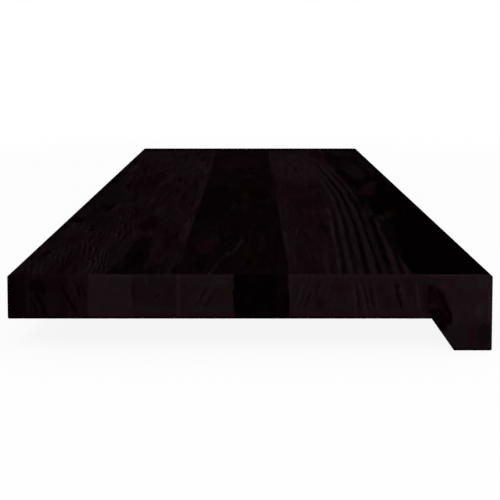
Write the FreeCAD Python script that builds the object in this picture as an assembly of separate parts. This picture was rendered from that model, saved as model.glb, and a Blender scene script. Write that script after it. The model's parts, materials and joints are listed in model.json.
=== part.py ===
import FreeCAD, Part
import os

# Stair tread of dark-stained solid wood.
# Straight staves are glued edge to edge into one board, and the board is then moulded:
# its front edge hangs down as a nosing, whose inner face slopes, and every arris is eased.
#
# X runs through the depth of the tread, from the back edge at -X to the nosing at +X.
# Y runs along the tread, from one end to the other, and Z is up.
# The origin is the middle of the footprint, on the level of the nosing's lower face.
# All sizes are in millimetres.

# Length of the tread, which is also the length of each stave
tread_length = 900.0

# Face width of each stave, from the back edge to the front
back_stave_width = 104.5
second_stave_width = 70.0
third_stave_width = 76.5
nosing_stave_width = 49.0

# Thickness of the board behind the nosing
board_thickness = 27.0

# Nosing: how far it hangs below the board, how wide it is along its lower face,
# and how far its inner face leans back on its way up to the board
nosing_drop = 20.0
nosing_lower_width = 23.5
nosing_slope_run = 14.0

# Radius that the finisher's brush leaves on every outer edge
arris_radius = 1.0

# How far a cutting block reaches past the board, and how near two places count as one
cutter_margin = 10.0
same_place = 0.001

# Staves in the order that they are glued up, from the back edge to the front
STAVES = (
    ("back_stave", back_stave_width),
    ("second_stave", second_stave_width),
    ("third_stave", third_stave_width),
    ("nosing_stave", nosing_stave_width),
)

# Places that follow from the sizes
tread_depth = sum(width for _, width in STAVES)
total_height = board_thickness + nosing_drop
back_x = -tread_depth / 2
front_x = tread_depth / 2
near_y = -tread_length / 2
nosing_lower_x = front_x - nosing_lower_width
nosing_root_x = nosing_lower_x - nosing_slope_run


def moulded_section():
    """Section across the board at its near end, with sharp corners."""
    corners = (
        (back_x, nosing_drop),
        (nosing_root_x, nosing_drop),
        (nosing_lower_x, 0.0),
        (front_x, 0.0),
        (front_x, total_height),
        (back_x, total_height),
    )
    points = [FreeCAD.Vector(x, near_y, z) for x, z in corners]
    return Part.Face(Part.makePolygon(points + points[:1]))


def is_nosing_root(edge):
    """True for the inner corner between the board's underside and the nosing."""
    return all(
        abs(vertex.X - nosing_root_x) < same_place and abs(vertex.Z - nosing_drop) < same_place
        for vertex in edge.Vertexes
    )


def moulded_board():
    """Whole board with its nosing, every outer arris eased and the inner corner left sharp."""
    board = moulded_section().extrude(FreeCAD.Vector(0, tread_length, 0))
    arrises = [edge for edge in board.Edges if not is_nosing_root(edge)]
    return board.makeFillet(arris_radius, arrises)


def stave_cutter(left_x, right_x):
    """Block between two upright planes, larger than the board every other way."""
    corner = FreeCAD.Vector(left_x, near_y - cutter_margin, -cutter_margin)
    length = tread_length + 2 * cutter_margin
    height = total_height + 2 * cutter_margin
    return Part.makeBox(right_x - left_x, length, height, corner)


def sawn_staves(board):
    """Cut the board along its glue lines and give each stave with its name."""
    staves = {}
    left_x = back_x
    for name, width in STAVES:
        right_x = left_x + width
        stave = board.common(stave_cutter(left_x, right_x))
        staves[name] = stave.Solids[0]
        left_x = right_x
    return staves


def main():
    """Model every stave and write each to a file of its own."""
    os.makedirs("parts", exist_ok=True)
    for name, stave in sawn_staves(moulded_board()).items():
        stave.exportStep(f"parts/{name}.step")
        print(f"{name}: {stave.Volume / 1000:.1f} cm3, valid {stave.isValid()}")


main()
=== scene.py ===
import json
import logging
import math
from collections.abc import Callable, Iterable
from dataclasses import dataclass
from enum import Enum

import bpy
import numpy as np
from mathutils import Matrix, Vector
from mathutils.geometry import delaunay_2d_cdt


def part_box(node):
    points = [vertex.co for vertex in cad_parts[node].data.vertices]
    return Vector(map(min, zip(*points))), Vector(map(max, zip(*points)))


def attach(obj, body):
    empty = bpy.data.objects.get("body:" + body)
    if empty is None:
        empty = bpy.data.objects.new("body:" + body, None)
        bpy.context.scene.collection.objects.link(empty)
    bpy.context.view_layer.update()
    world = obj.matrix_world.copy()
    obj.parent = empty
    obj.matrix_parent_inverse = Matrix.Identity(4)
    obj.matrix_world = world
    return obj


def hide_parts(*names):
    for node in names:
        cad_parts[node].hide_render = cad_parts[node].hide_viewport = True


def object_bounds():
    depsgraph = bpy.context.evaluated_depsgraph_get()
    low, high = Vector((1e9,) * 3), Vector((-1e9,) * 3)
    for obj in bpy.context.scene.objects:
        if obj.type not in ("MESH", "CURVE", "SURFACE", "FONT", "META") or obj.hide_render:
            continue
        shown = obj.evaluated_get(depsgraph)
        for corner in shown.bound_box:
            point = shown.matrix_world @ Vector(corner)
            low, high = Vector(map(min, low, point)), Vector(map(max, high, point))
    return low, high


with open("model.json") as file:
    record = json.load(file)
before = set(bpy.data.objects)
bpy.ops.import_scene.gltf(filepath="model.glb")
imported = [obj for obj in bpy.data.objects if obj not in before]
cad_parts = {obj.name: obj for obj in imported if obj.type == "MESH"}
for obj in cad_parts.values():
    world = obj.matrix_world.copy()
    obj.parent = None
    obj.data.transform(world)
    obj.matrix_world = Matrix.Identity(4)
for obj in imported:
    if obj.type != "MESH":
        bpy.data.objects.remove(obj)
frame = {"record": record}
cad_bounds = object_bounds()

log = logging.getLogger("tread")

# The model is in metres, and the wood's figure is described in millimetres
MM = 0.001

# Name of the points' attribute that says where the brush reaches
REACH = "reach"

# Fewest steps that a length of the mesh is cut into
FEWEST_STEPS = 2

WHITE = (1.0, 1.0, 1.0, 1.0)

# Output of a node, and a number that a node takes: plain, or worked out by other nodes
Socket = bpy.types.NodeSocket
Number = "Expr | float"
# Places or other numbers of many points
Points = np.ndarray
# Two numbers that belong together, such as a size across and along, or a place and an inset
Pair = tuple[float, float]
# Tone of the stain, as a display level of red, and the tint that its colour is multiplied by
Stain = tuple["Expr", Socket]


def in_mm(corners: Iterable) -> list[Vector]:
    """Corners of a box in millimetres."""
    return [Vector(corner) / MM for corner in corners]


def placed(name: str, data: bpy.types.ID) -> bpy.types.Object:
    """Make an object and put it into the scene.

    Args:
        name: the object's name.
        data: its mesh, lamp or camera.

    Returns:
        The object.
    """
    made = bpy.data.objects.new(name, data)
    bpy.context.scene.collection.objects.link(made)
    return made


def linear(level: float) -> float:
    """Turn a display level from 0 to 255 into linear light, by the curve of the sRGB standard."""
    share = level / 255.0
    return share / 12.92 if share <= 0.04045 else ((share + 0.055) / 1.055) ** 2.4


def maths(operation: str) -> "Callable[..., Expr]":
    """Make a method of a number that puts a Math node behind it.

    Args:
        operation: what the node does.

    Returns:
        The method, which takes the node's second number where it needs one.
    """

    def method(number: "Expr", *others: Number) -> "Expr":
        """Work out the number that follows."""
        return number.graph.math(operation, number, *others)

    return method


class Expr:
    """A number that nodes work out, which takes part in Python arithmetic."""

    def __init__(self, graph: "Graph", socket: Socket) -> None:
        """Wrap an output socket, whose followers the graph makes."""
        self.graph = graph
        self.socket = socket

    def __add__(self, other: Number) -> "Expr":
        """Sum, in which a plain 0 makes no node."""
        return self.graph.math("ADD", self, other) if other else self

    def __rsub__(self, other: Number) -> "Expr":
        """Difference from a plain number."""
        return self.graph.math("SUBTRACT", other, self)

    __radd__ = __add__
    __sub__ = maths("SUBTRACT")
    __mul__ = __rmul__ = maths("MULTIPLY")
    __truediv__ = maths("DIVIDE")
    __pow__ = maths("POWER")
    __abs__ = maths("ABSOLUTE")
    at_least = maths("MAXIMUM")
    root = maths("SQRT")

    def squared(self) -> "Expr":
        """The number times itself."""
        return self * self

    def wave(self) -> "Expr":
        """Cosine wave from 0 to 1 and back, once for each whole number."""
        return self.graph.math("COSINE", self * (2.0 * math.pi)) * 0.5 + 0.5

    def rise(self, low: float, high: float, full: float = 1.0) -> "Expr":
        """Go smoothly from 0 at one value to a full amount at another.

        Args:
            low: value that gives 0.
            high: value that gives the full amount, above or below the first.
            full: the full amount.

        Returns:
            The number that results.
        """
        inputs = {"Value": self, "From Min": low, "From Max": high, "To Max": full}
        made = self.graph.node("ShaderNodeMapRange", {"interpolation_type": "SMOOTHSTEP"}, inputs)
        return Expr(self.graph, made.outputs[0])


class Graph:
    """Makes the nodes of one tree, of a material or of a shape."""

    # Noise comes from its node about 0.5, and mostly within a quarter of it either way
    NOISE_MIDDLE = 0.5
    NOISE_GAIN = 4.0

    def __init__(self, tree: bpy.types.NodeTree) -> None:
        """Start on a tree, with no node in it."""
        self.tree = tree
        tree.nodes.clear()

    def node(self, kind: str, settings: dict | None = None, values: dict | None = None) -> bpy.types.Node:
        """Make a node.

        Args:
            kind: the node's type.
            settings: its own settings, and a ramp's stops as pairs of place and colour.
            values: what each input takes, by the input's name or number.

        Returns:
            The node.
        """
        made = self.tree.nodes.new(kind)
        for name, value in (settings or {}).items():
            if name == "stops":
                self._set_stops(made.color_ramp, value)
            else:
                setattr(made, name, value)
        for key, value in (values or {}).items():
            value = value.socket if isinstance(value, Expr) else value
            if isinstance(value, Socket):
                self.tree.links.new(value, made.inputs[key])
            else:
                made.inputs[key].default_value = value
        return made

    def _set_stops(self, ramp: bpy.types.ColorRamp, stops: list) -> None:
        """Give a ramp its stops, in place of the two that it comes with.

        Args:
            ramp: the ramp.
            stops: pairs of place and colour, the lowest first.
        """
        while len(ramp.elements) > 1:
            ramp.elements.remove(ramp.elements[-1])
        for number, (place, colour) in enumerate(stops):
            element = ramp.elements.new(place) if number else ramp.elements[0]
            element.position = place
            element.color = (*colour, 1.0)

    def math(self, operation: str, *numbers: Number) -> Expr:
        """Make a Math node and give its result."""
        made = self.node("ShaderNodeMath", {"operation": operation}, dict(enumerate(numbers)))
        return Expr(self, made.outputs[0])

    def mix(self, share: Number, first: Number, second: Number) -> Expr:
        """Go from the first number to the second as the share goes from 0 to 1."""
        made = self.node("ShaderNodeMix", {"data_type": "FLOAT"}, {0: share, 2: first, 3: second})
        return Expr(self, made.outputs[0])

    def mix_colour(self, share: Expr, first: object, second: object) -> Socket:
        """Go from the first colour to the second as the share goes from 0 to 1."""
        made = self.node("ShaderNodeMix", {"data_type": "RGBA"}, {0: share, 6: first, 7: second})
        return made.outputs[2]

    def vector(self, x: Number, y: Number, z: Number) -> Socket:
        """Put three numbers together."""
        return self.node("ShaderNodeCombineXYZ", None, {0: x, 1: y, 2: z}).outputs[0]

    def vector_math(self, operation: str, *vectors: object) -> bpy.types.Node:
        """Make a Vector Math node."""
        return self.node("ShaderNodeVectorMath", {"operation": operation}, dict(enumerate(vectors)))

    def dot(self, first: Socket, second: object) -> Expr:
        """Dot product of two vectors."""
        return Expr(self, self.vector_math("DOT_PRODUCT", first, second).outputs["Value"])

    def noise(self, at: Socket, kind: "Noise") -> Expr:
        """Make soft noise about 0, from about -1 to 1, with features one unit long.

        Args:
            at: place to read the noise at.
            kind: the kind of noise.

        Returns:
            The noise.
        """
        values = {"Vector": at, "Scale": 1.0, "Detail": kind.detail, "Roughness": kind.roughness}
        made = self.node("ShaderNodeTexNoise", {"noise_dimensions": "3D"}, values)
        return Expr(self, made.outputs[0]) * self.NOISE_GAIN - self.NOISE_GAIN * self.NOISE_MIDDLE


@dataclass(frozen=True)
class Noise:
    """A kind of noise: how long its features are across the tread and the other way.

    The other way is along the tread, or under the walking surface on the ends. The detail says
    how many finer layers lie on the first, and the roughness how strong they are.
    """

    across: float
    other: float
    detail: float
    roughness: float = 0.5


class Cast(Enum):
    """How the stain leans in colour, as shares of its red, green and blue."""

    PLAIN = (1.0, 1.0, 1.0)
    WINE = (1.03, 0.78, 0.92)
    CLARET = (1.06, 0.34, 0.7)
    RUST = (1.08, 0.92, 0.44)
    GREY = (0.97, 1.2, 1.12)
    ASH = (0.94, 1.5, 1.24)
    DUSTY = (0.99, 1.07, 1.04)
    EVEN = (1.0, 0.97, 0.99)
    WORN = (1.14, 0.86, 0.99)

    def colour(self, strength: float = 1.0) -> tuple[float, float, float, float]:
        """Shares of red, green and blue at a strength, as a colour."""
        return (*(1.0 + (share - 1.0) * strength for share in self.value), 1.0)


# Casts by their own names
PLAIN, WINE, CLARET, RUST, GREY, ASH, DUSTY, EVEN, WORN = Cast


@dataclass(frozen=True)
class Place:
    """A point of the tread, in millimetres, as the numbers that nodes work out."""

    across: Expr
    along: Expr
    under: Expr


def several(kind: type, *rows: tuple) -> tuple:
    """Make marks, ripples, knots or lines out of rows, each of which gives the fields of one in turn."""
    return tuple(kind(*row) for row in rows)


@dataclass(frozen=True)
class Oval:
    """Where something lies in the wood and how far it reaches, in millimetres.

    On the top it is placed across and along the tread. On an end it is placed across the
    tread and under the walking surface. The half width is across, and the half length is the
    other way. Its lean, where it has one, is how far it runs across for each of those the other way.
    """

    across: float
    along: float
    half_width: float
    half_length: float


@dataclass(frozen=True)
class Mark(Oval):
    """A darker or lighter oval, whose tone is a display level of red.

    The edge is the share of the oval, from its rim inwards, over which the mark fades in.
    """

    tone: float
    cast: Cast = PLAIN
    lean: float = 0.0
    edge: float = 0.8
    strength: float = 1.0

    def cover(self, at: Socket, along: Expr) -> Expr:
        """Work out how much of the mark shows at a point.

        Args:
            at: the point's place across the tread and the other way, with 0 as its third number.
            along: its place the other way alone.

        Returns:
            The share, from 0 to the mark's strength.
        """
        graph, start = along.graph, self.across
        if self.lean:
            at = graph.vector(graph.dot(at, (1.0, -self.lean, 0.0)), along, 0.0)
            start -= self.lean * self.along
        scale = (1.0 / self.half_width, 1.0 / self.half_length, 0.0)
        shift = (-start / self.half_width, -self.along / self.half_length, 0.0)
        own = graph.vector_math("MULTIPLY_ADD", at, scale, shift).outputs[0]
        return graph.dot(own, own).rise(1.0, 1.0 - self.edge, self.strength)


@dataclass(frozen=True)
class Lines(Oval):
    """Growth lines inside an oval, which change the tone by up to a depth in display levels.

    The pitch of lines side by side is in millimetres. Rings have their number in its place.
    """

    pitch: float
    depth: float
    lean: float = 0.0

    # Squares of the distance, as a share of the reach, at which lines are gone and are in full
    FADE = (1.0, 0.35)

    def wave(self, off: Expr, square: Expr) -> Expr:
        """Wave of the lines, at a distance across and a square of the whole distance."""
        raise NotImplementedError

    def shade(self, across: Expr, along: Expr) -> Expr:
        """Work out how the lines change the tone at a point.

        Args:
            across: the point's place across the tread.
            along: its place the other way.

        Returns:
            The change, in display levels up and down about 0.
        """
        run = along - self.along
        off = across - self.across - run * self.lean
        square = (off / self.half_width).squared() + (run / self.half_length).squared()
        return self.wave(off, square) * square.rise(*self.FADE) * (2.0 * self.depth)


@dataclass(frozen=True)
class Ripple(Lines):
    """Fine growth lines side by side, whose wave leaves the tone as it is at its middle level."""

    sharpness: float = 1.5
    middle: float = 0.42

    def wave(self, off: Expr, square: Expr) -> Expr:
        """Sharpened wave, once for each pitch across."""
        return (off / self.pitch).wave() ** self.sharpness - self.middle


@dataclass(frozen=True)
class Knot(Lines):
    """A closed figure of rings round a small centre, drawn out along the stave."""

    FADE = (2.2, 0.5)

    def wave(self, off: Expr, square: Expr) -> Expr:
        """Wave about 0, with as many rings as there are inside the oval."""
        return (square.root() * self.pitch).wave() - 0.5


@dataclass(frozen=True)
class GrowthLine:
    """One hard or soft line of a bundle, at its own distance from the bundle's path.

    It changes the tone between its near and its far end, which are places along the tread. A
    near end below 0 lies before the tread, so the line is there in full from the start.
    """

    apart: float
    half_width: float
    change: float
    far: float
    near: float = -50.0
    fade: float = 45.0

    # Distances from its middle at which it is gone and is in full, as shares of its half width
    GONE = 1.35
    FULL = 0.35

    def shade(self, off: Expr, along: Expr) -> Expr:
        """Work out how the line changes the tone at a point.

        Args:
            off: the point's distance across from the bundle's path.
            along: its place along the tread.

        Returns:
            The change, in display levels.
        """
        line = abs(off - self.apart).rise(self.half_width * self.GONE, self.half_width * self.FULL)
        line = line * along.rise(self.far, self.far - self.fade, self.change)
        if self.near > 0:
            line = line * along.rise(self.near, self.near + self.fade)
        return line


@dataclass(frozen=True)
class LineBundle:
    """Growth lines side by side, which all follow one path along the stave.

    The path's place across is a sum of powers of the distance along the tread in metres, the
    plain number first. Its lines are in millimetres.
    """

    path: tuple[float, ...]
    lines: tuple[GrowthLine, ...]

    def shade(self, across: Expr, along: Expr) -> Expr:
        """Work out how the lines change the tone at a point.

        Args:
            across: the point's place across the tread.
            along: its place along it.

        Returns:
            The change, in display levels up and down about 0.
        """
        start, *powers, last = self.path
        metres = along * MM
        middle = metres * last
        for power in reversed(powers):
            middle = (middle + power) * metres
        off = across - (middle + start)
        return sum(line.shade(off, along) for line in self.lines)


@dataclass(frozen=True)
class Figure:
    """Grain and tone of one stave.

    Tones are display levels of red, which the stain turns into colours. The top goes from its
    near tone to its far tone along the tread. Strengths are shares of the tone, the curl is in
    levels, and the warp and the raggedness of marks are in millimetres. The foot is how far
    under the walking surface the stave ends, and the worn strip runs just above it on the ends.
    """

    near_tone: float
    far_tone: float
    end_tone: float
    warp: float = 4.0
    warp_across: float = 20.0
    warp_along: float = 110.0
    slant: float = 0.25
    ragged: float = 2.5
    fibre: float = 0.3
    streak: float = 0.3
    mottle: float = 0.3
    ring_pitch: float = 5.5
    ring: float = 0.08
    curl: float = 0.0
    wine: float = 0.4
    end_ragged: float = 1.0
    end_wine: float = 0.4
    foot: float = 27.0
    worn: float = 1.0
    seed: float = 0.0
    marks: tuple[Mark, ...] = ()
    ripples: tuple[Ripple, ...] = ()
    knots: tuple[Knot, ...] = ()
    bundle: LineBundle | None = None
    end_marks: tuple[Mark, ...] = ()
    end_ripples: tuple[Ripple, ...] = ()


class WoodField:
    """Growth of one stave as numbers at every point, for its shape and for its stain alike."""

    # What makes the fibres bend, the fibres, streaks and mottle, and the patches of wine and grey
    WARP_DETAIL = 1.5
    FIBRE = Noise(1.2, 45.0, 1.0)
    STREAK = Noise(4.2, 85.0, 1.5)
    MOTTLE = Noise(13.0, 75.0, 2.0)
    TINT = Noise(24.0, 110.0, 1.0)
    # Mottle of the ends with its share of their tone, their patches and their fine grain's share
    END_MOTTLE = Noise(7.0, 11.0, 2.0)
    END_MOTTLE_SHARE = 0.07
    END_TINT = Noise(13.0, 9.0, 1.0)
    END_DETAIL = 0.25
    # Noise at which the stain leans wholly towards grey, and at which wholly towards wine
    TINT_RANGE = (-0.6, 0.6)
    # Raggedness of marks, how many times as far it moves them along as across, and the bend's share
    RAGGED = Noise(5.0, 20.0, 2.0, 0.6)
    RAGGED_ALONG = 5.0
    RAGGED_BEND = 0.3
    # The same for the ends' marks, aside and down, and where along its noise each of the two is read
    END_RAGGED = Noise(2.6, 4.2, 2.0, 0.6)
    END_RAGGED_UNDER = 1.6
    END_RAGGED_CUTS = (0.0, 7.0)
    # Thin curls, the patches that they come in, and the noise at which those come and are full
    CURL = Noise(8.0, 26.0, 1.0, 0.4)
    CURL_PATCH = Noise(22.0, 90.0, 1.0)
    CURL_PATCH_RANGE = (-0.1, 0.4)
    # A curl is light where its noise is near 0, and more weakly dark where it is near this number
    CURL_LIGHT = (0.12, 0.02)
    CURL_APART = 0.17
    CURL_DARK = (0.13, 0.02)
    CURL_DARK_SHARE = 0.8
    # Strokes that the ripples are broken into, and the shares that show between and in them
    STROKE = Noise(5.0, 26.0, 2.0)
    STROKE_SHARES = (0.25, 1.5)
    # The same for the lines of a bundle, which change more slowly
    STRETCH = Noise(3.4, 38.0, 2.0)
    STRETCH_SHARES = (0.5, 1.45)
    # Noise at which the lines show least, and at which they show most
    STROKE_RANGE = (-0.7, 0.5)
    # Distances from an end from which, and up to which, the look of its sawn face comes in
    ON_END = (1.0, 0.8)
    # The same for the painted highlight along the near upper arris, along and under; its gain
    ARRIS_HIGHLIGHT = (6.0, 4.2)
    ARRIS_HIGHLIGHT_UNDER = (1.2, 0.7)
    ARRIS_HIGHLIGHT_GAIN = 1.1
    # Distances from the far end at which the top starts to darken and is darkest, and how much
    FAR_DARKENING = (62.0, 2.0)
    FAR_DARKENING_DEPTH = 0.72
    # Heights above the foot at which the worn strip of the ends starts and is in full
    WORN_STRIP = (5.2, 4.0)
    # The same for the painted shade along the lower arris below it, and how dark that shade is
    LOWER_ARRIS_SHADE = (2.3, 0.6)
    LOWER_ARRIS_SHADE_DEPTH = 0.47
    # Shares of the relief that the fibres, the streaks and the rings make, and the lines' share
    RELIEF = (0.4, 0.3, 0.3)
    LINE_RELIEF = 0.05
    # How sharp the rings are, and their level that leaves the tone as it is
    RING_SHARPNESS = 2.0
    RING_MIDDLE = 0.4

    def __init__(self, graph: Graph, figure: Figure, position: Socket) -> None:
        """Set up the field.

        Args:
            graph: maker of the nodes.
            figure: the stave's grain and tone.
            position: the point in the model's own frame, in metres.
        """
        self.graph = graph
        self.figure = figure
        self.low, self.high = in_mm(cad_bounds)
        apart = graph.node("ShaderNodeSeparateXYZ", None, {0: position})
        x, y, z = (Expr(graph, apart.outputs[axis]) / MM for axis in range(3))
        self.place = place = Place(x - self.low.x, y - self.low.y, self.high.z - z)
        warp = Noise(figure.warp_across, figure.warp_along, self.WARP_DETAIL)
        self.bend = self._noise(place, warp, figure.seed) * figure.warp
        self.grain = Place(place.across + self.bend + place.under * figure.slant, place.along, place.under)
        self.fibres = self._noise(self.grain, self.FIBRE, along=figure.seed)
        self.streaks = self._noise(self.grain, self.STREAK, along=figure.seed)
        phase = self.grain.across / figure.ring_pitch + figure.seed
        self.rings = phase.wave() ** self.RING_SHARPNESS
        self.lines = self._lines()

    def _noise(self, place: Place, kind: Noise, across: float = 0.0, along: float = 0.0) -> Expr:
        """Noise drawn out along the tread, set apart from other noise by steps across and along."""
        first, second = place.across / kind.across + across, place.along / kind.other + along
        return self.graph.noise(self.graph.vector(first, second, place.under / kind.across), kind)

    def _end_noise(self, kind: Noise, cut: float, across: float = 0.0) -> Expr:
        """Noise that is the same all along the tread, read at one cut, and set apart by a step across."""
        first, last = self.place.across / kind.across + across, self.place.under / kind.other
        return self.graph.noise(self.graph.vector(first, cut, last), kind)

    def on_end(self) -> Expr:
        """1 on the sawn ends and 0 elsewhere."""
        middle = (self.high.y - self.low.y) / 2
        return abs(self.place.along - middle).rise(*(middle - distance for distance in self.ON_END))

    def arris_highlight(self) -> Expr:
        """1 along the near end's upper arris, where a highlight is painted, and 0 elsewhere."""
        return self.place.along.rise(*self.ARRIS_HIGHLIGHT) * self.place.under.rise(*self.ARRIS_HIGHLIGHT_UNDER)

    def curls(self) -> Expr:
        """Small curls in the grain, each a thin light line with a dark one beside it.

        Returns:
            Their share, from -1 where dark to 1 where light.
        """
        level = self._noise(self.place, self.CURL, along=self.figure.seed)
        light, dark = abs(level).rise(*self.CURL_LIGHT), abs(level - self.CURL_APART).rise(*self.CURL_DARK)
        lines = light - dark * self.CURL_DARK_SHARE
        return lines * self._noise(self.place, self.CURL_PATCH, self.figure.seed).rise(*self.CURL_PATCH_RANGE)

    def _lines(self) -> Number:
        """Add up the stave's ripples, its bundle of growth lines and its knots.

        Returns:
            Their change of tone in display levels, or 0 where the stave has none.
        """
        figure, along = self.figure, self.place.along
        across = self.place.across + self.bend
        lines = sum(ripple.shade(across, along) for ripple in figure.ripples)
        if figure.ripples:
            lines = lines * self._broken(self.STROKE, self.STROKE_SHARES)
        if figure.bundle:
            bundle = figure.bundle.shade(across, along)
            lines = lines + bundle * self._broken(self.STRETCH, self.STRETCH_SHARES)
        return sum((knot.shade(across, along) for knot in figure.knots), lines)

    def _broken(self, kind: Noise, shares: Pair) -> Expr:
        """Work out how much of a set of lines shows at the point, so that they come in strokes.

        Args:
            kind: the noise that makes the strokes.
            shares: share that shows between strokes, and at the middle of one.

        Returns:
            The share.
        """
        weak, strong = shares
        level = self._noise(self.grain, kind, self.figure.seed)
        return level.rise(*self.STROKE_RANGE, strong - weak) + weak

    def height(self) -> Expr:
        """Work out the relief of the brushed surface.

        Returns:
            The height, from about -1 in the pores to 1 on the hard lines.
        """
        fibres, streaks, rings = self.RELIEF
        height = self.fibres * fibres + self.streaks * streaks + self.rings * rings
        return height + self.lines * self.LINE_RELIEF if self.lines else height

    def _detail(self, strength: float) -> Expr:
        """Work out how the fine grain lightens or darkens the stain.

        Args:
            strength: how much of the grain shows.

        Returns:
            The tone's gain at the point, about 1.
        """
        figure = self.figure
        detail = self.fibres * (figure.fibre * strength) + self.streaks * (figure.streak * strength)
        return detail + (self.rings - self.RING_MIDDLE) * (figure.ring * strength) + 1.0

    def stain(self) -> Stain:
        """Work out the stain of the whole stave, with the painted highlight on its near upper arris.

        Returns:
            Its tone and its tint.
        """
        graph, on_end, arris_highlight = self.graph, self.on_end(), self.arris_highlight()
        top_tone, top_tint = self._top()
        end_tone, end_tint = self._end()
        tone = graph.mix(on_end, top_tone, end_tone)
        # Painted highlight: the near upper arris takes the end's tone, made lighter, in place of the top's
        tone = graph.mix(arris_highlight, tone, end_tone * self.ARRIS_HIGHLIGHT_GAIN)
        return tone, graph.mix_colour(on_end.at_least(arris_highlight), top_tint, end_tint)

    def _tint(self, noise: Expr, strength: float) -> Socket:
        """Let the stain lean from grey to wine as the noise rises."""
        share = noise.rise(*self.TINT_RANGE)
        return self.graph.mix_colour(share, GREY.colour(strength), WINE.colour(strength))

    def _add_marks(self, marks: tuple, across: Expr, along: Expr, tone: Expr, tint: Socket) -> Stain:
        """Lay marks over a tone and a tint.

        Args:
            marks: the marks, the lowest first.
            across: the point's place across the tread.
            along: its place the other way.
            tone: the tone below them.
            tint: the tint below them.

        Returns:
            The tone and the tint with the marks on them.
        """
        at = self.graph.vector(across, along, 0.0)
        for mark in marks:
            cover = mark.cover(at, along)
            tone = self.graph.mix(cover, tone, mark.tone)
            if mark.cast is not PLAIN:
                tint = self.graph.mix_colour(cover, tint, mark.cast.colour())
        return tone, tint

    def _top(self) -> Stain:
        """Work out the stain of every face along the tread.

        Returns:
            Its tone and its tint.
        """
        figure, graph, place = self.figure, self.graph, self.place
        length = self.high.y - self.low.y
        torn = self._noise(place, self.RAGGED) * figure.ragged
        across = place.across + self.bend * self.RAGGED_BEND + torn
        along = place.along + torn * self.RAGGED_ALONG
        tone = graph.mix(place.along.rise(0.0, length), figure.near_tone, figure.far_tone)
        tone = tone * (self._noise(self.grain, self.MOTTLE, along=figure.seed) * figure.mottle + 1.0)
        tint = self._tint(self._noise(place, self.TINT, along=figure.seed), figure.wine)
        tone, tint = self._add_marks(figure.marks, across, along, tone, tint)
        tone = tone * self._detail(1.0)
        if self.lines:
            tone = tone + self.lines
        if figure.curl:
            tone = tone + self.curls() * figure.curl
        start, full = (length - distance for distance in self.FAR_DARKENING)
        return tone * (1.0 - place.along.rise(start, full) * self.FAR_DARKENING_DEPTH), tint

    def _end(self) -> Stain:
        """Work out the stain of the sawn ends, as the near one shows it, with painted shade along their lower
        arris.

        Returns:
            Its tone and its tint.
        """
        figure, graph, place = self.figure, self.graph, self.place
        torn = (self._end_noise(self.END_RAGGED, cut) for cut in self.END_RAGGED_CUTS)
        aside, down = (noise * figure.end_ragged for noise in torn)
        across, under = place.across + aside, place.under + down * self.END_RAGGED_UNDER
        mottle = self._end_noise(self.END_MOTTLE, 0.0, figure.seed)
        tone = mottle * (figure.end_tone * self.END_MOTTLE_SHARE) + figure.end_tone
        tint = self._tint(self._end_noise(self.END_TINT, figure.seed), figure.end_wine)
        tone, tint = self._add_marks(figure.end_marks, across, under, tone, tint)
        tone = tone * self._detail(self.END_DETAIL)
        for ripple in figure.end_ripples:
            tone = tone + ripple.shade(across, under)
        if figure.worn:
            start, full = (figure.foot - height for height in self.WORN_STRIP)
            share = place.under.rise(start, full) * figure.worn
            cast = graph.mix_colour(share, PLAIN.colour(), WORN.colour())
            tint = graph.vector_math("MULTIPLY", tint, cast).outputs[0]
        # Painted shade: the ends darken towards their lower arris, which faces down
        start, full = (figure.foot - height for height in self.LOWER_ARRIS_SHADE)
        return tone * (1.0 - place.under.rise(start, full) * self.LOWER_ARRIS_SHADE_DEPTH), tint


@dataclass(frozen=True)
class StainedWood:
    """Near-black stain worked into solid wood by rubbing, with open grain and hardly any sheen."""

    figure: Figure
    roughness: float = 0.62
    roughness_spread: float = 0.08
    sheen_coat: float = 0.0012
    coat_roughness: float = 0.4
    # Depth of the relief that is bump alone, in millimetres
    relief: float = 0.08

    # Colour of the stain, as display levels, from where it is thickest to bare hard lines
    STAIN = (
        (1.0, 0.0, 0.1), (4.0, 0.7, 1.5), (8.3, 2.5, 4.2), (13.0, 5.2, 7.6),
        (16.0, 7.3, 10.0), (20.0, 10.9, 13.8), (25.0, 15.5, 18.8), (34.0, 24.0, 28.0),
    )

    def _colour(self, graph: Graph, tone: Expr, tint: Socket) -> Socket:
        """Turn a tone and a tint into the stain's colour.

        Args:
            graph: maker of the nodes.
            tone: display level of red.
            tint: shares of red, green and blue.

        Returns:
            The colour.
        """
        top = self.STAIN[-1][0]
        stops = [(stop[0] / top, tuple(map(linear, stop))) for stop in self.STAIN]
        ramp = graph.node("ShaderNodeValToRGB", {"stops": stops}, {0: tone / top})
        return graph.vector_math("MULTIPLY", ramp.outputs[0], tint).outputs[0]

    def material(self, name: str) -> bpy.types.Material:
        """Make the finish of one stave.

        Args:
            name: the material's name.

        Returns:
            The material.
        """
        made = bpy.data.materials.new(name)
        made.use_nodes = True
        graph = Graph(made.node_tree)
        position = graph.node("ShaderNodeTexCoord").outputs["Object"]
        wood = WoodField(graph, self.figure, position)
        colour = self._colour(graph, *wood.stain())
        relief = {"Strength": 1.0, "Distance": self.relief * MM, "Height": wood.height()}
        surface = graph.node("ShaderNodeBsdfPrincipled", None, {
            "Base Color": colour,
            "Roughness": wood.fibres * -self.roughness_spread + self.roughness,
            "Specular IOR Level": 0.0,
            "Coat Weight": self.sheen_coat,
            "Coat Roughness": self.coat_roughness,
            "Normal": graph.node("ShaderNodeBump", None, relief).outputs[0],
        })
        graph.node("ShaderNodeOutputMaterial", None, {"Surface": surface.outputs[0]})
        return made


class Side(Enum):
    """What a side of a stave's section meets."""

    OPEN = "open"
    GLUED = "glued"


@dataclass(frozen=True)
class Corner:
    """A corner of a section, in millimetres, and what the side after it meets."""

    x: float
    z: float
    next_side: Side
    eased: bool = False


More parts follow.
